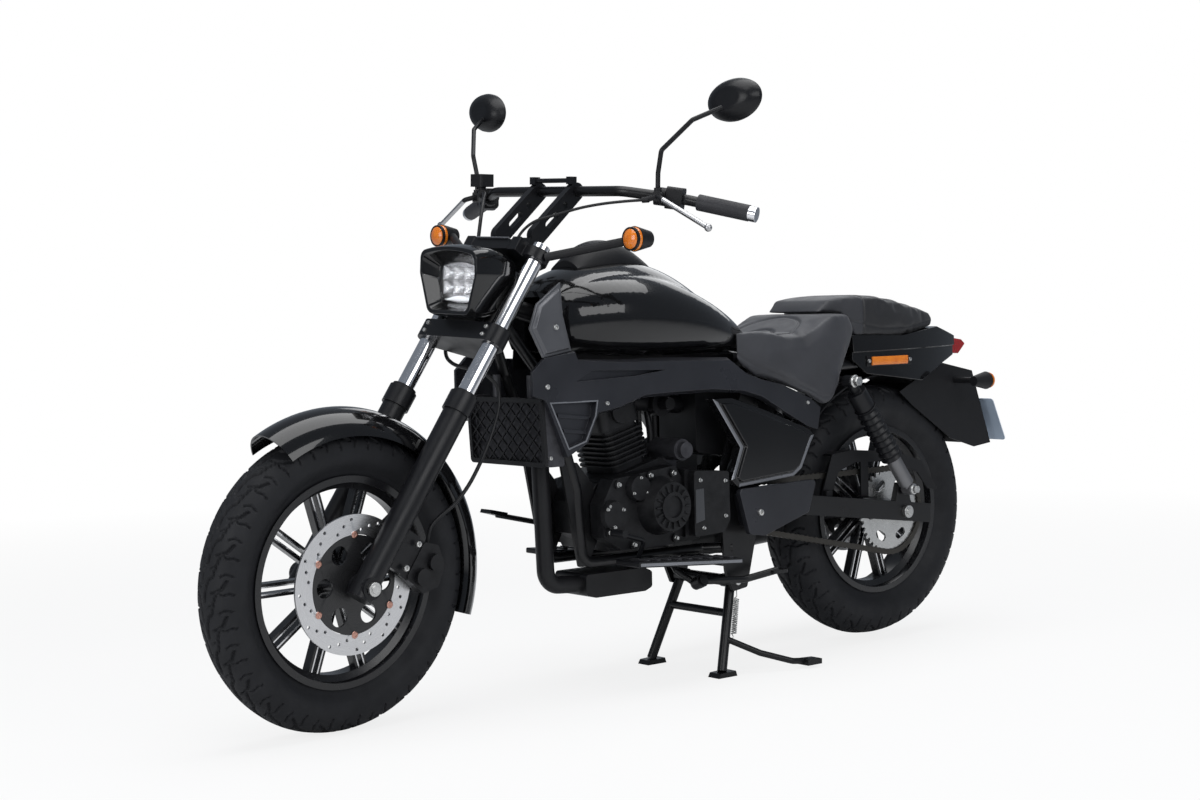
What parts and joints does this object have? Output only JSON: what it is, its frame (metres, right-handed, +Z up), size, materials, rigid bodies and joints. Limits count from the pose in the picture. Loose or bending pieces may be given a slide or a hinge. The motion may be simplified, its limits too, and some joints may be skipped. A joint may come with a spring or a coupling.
{
  "type": "cruiser motorcycle",
  "caption": "Black cruiser motorcycle on its centre stand, with cast wheels, radiator shrouds, two seats and a chain drive.",
  "frame": {"origin": "middle of the object's outline at ground level, under the centre stand's load", "axes": "+X forward, +Y to the rider's left, +Z up"},
  "size_m": [2.2568, 0.9216, 1.3295],
  "materials": {
    "alloy_grey": "light grey satin alloy",
    "black_paint": "satin black paint",
    "chain_steel": "oiled chain steel",
    "chrome": "polished chrome",
    "disc_steel": "ground disc steel",
    "engine_black": "semi-gloss black castings with machined edges",
    "engine_grey": "dark grey die castings",
    "exhaust_black": "heat resistant satin black",
    "gloss_black": "deep gloss black lacquer",
    "graphite": "satin graphite grey",
    "grip_rubber": "ribbed grey rubber",
    "lamp_lens": "clear lamp lens",
    "plastic_black": "grained black plastic",
    "plate_blank": "blank pale number plate",
    "red_lens": "red moulded lens",
    "seat_dark": "grained black vinyl with piping",
    "seat_vinyl": "grained black vinyl, stitched",
    "steel": "zinc plated steel",
    "tyre": "matt moulded tread rubber",
    "wheel_black": "satin black, machined rim edges and spoke faces"
  },
  "bodies": {
    "frame": {"chain": "chain_steel", "chain_guard": "plastic_black", "engine_crankcase": "engine_black", "engine_cylinder": "engine_black", "exhaust_header": "exhaust_black", "footboards": "black_paint", "frame": "black_paint", "fuel_tank": "gloss_black", "intake": "plastic_black", "left_engine_cover": "engine_black", "neck_covers": "alloy_grey", "number_plate": "plate_blank", "passenger_seat": "seat_dark", "pivot_bolts": "steel", "pivot_covers": "graphite", "radiator": "engine_grey", "radiator_guard": "plastic_black", "rear_axle": "steel", "rear_indicators": "plastic_black", "rear_mudguard": "plastic_black", "rear_shocks": "steel", "rear_subframe": "black_paint", "rider_seat": "seat_vinyl", "right_engine_cover": "engine_black", "shock_springs": "black_paint", "side_covers": "gloss_black", "side_shrouds": "graphite", "silencer": "exhaust_black", "starter_motor": "engine_grey", "swingarm": "black_paint", "tail_cowl": "gloss_black", "tail_lamp": "red_lens", "tank_console": "plastic_black"},
    "steering": {"fork_sliders": "black_paint", "fork_tubes": "chrome", "fork_yokes": "graphite", "front_axle": "steel", "front_mudguard": "gloss_black", "front_caliper": "black_paint", "headlamp_shell": "gloss_black", "headlamp_lens": "lamp_lens", "handlebar": "black_paint", "handlebar_risers": "black_paint", "grips": "grip_rubber", "hand_controls": "plastic_black", "mirrors": "gloss_black", "front_indicators": "black_paint", "front_brake_hose": "plastic_black", "clutch_cable": "plastic_black"},
    "front_wheel_set": {"front_tyre": "tyre", "front_wheel": "wheel_black", "front_disc": "disc_steel"},
    "rear_wheel_set": {"rear_tyre": "tyre", "rear_wheel": "wheel_black", "rear_disc": "disc_steel", "rear_sprocket": "chain_steel"},
    "stand_centre": {"centre_stand": "black_paint"},
    "stand_side": {"side_stand": "black_paint"}
  },
  "joints": [
    {"name": "steering_head", "type": "hinge", "parent": "frame", "child": "steering", "pos_m": [0.80116, 0, 0.28218], "axis": [-0.5664, 0, 0.8241], "range_deg": [-40, 30]},
    {"name": "front_wheel_spin", "type": "hinge", "parent": "steering", "child": "front_wheel_set", "pos_m": [0.82989, 0.00305, 0.30193], "axis": [-0.0718, 0.9962, -0.0494], "continuous": true},
    {"name": "rear_wheel_spin", "type": "hinge", "parent": "frame", "child": "rear_wheel_set", "pos_m": [-0.69, 0, 0.322], "axis": [0, 1, 0], "continuous": true},
    {"name": "centre_stand_fold", "type": "hinge", "parent": "frame", "child": "stand_centre", "pos_m": [-0.16, 0, 0.205], "axis": [0, 1, 0], "range_deg": [0, 75]},
    {"name": "side_stand_fold", "type": "hinge", "parent": "frame", "child": "stand_side", "pos_m": [-0.028, 0.13, 0.222], "axis": [-0.0576, -0.9169, -0.395], "range_deg": [0, 96]}
  ]
}
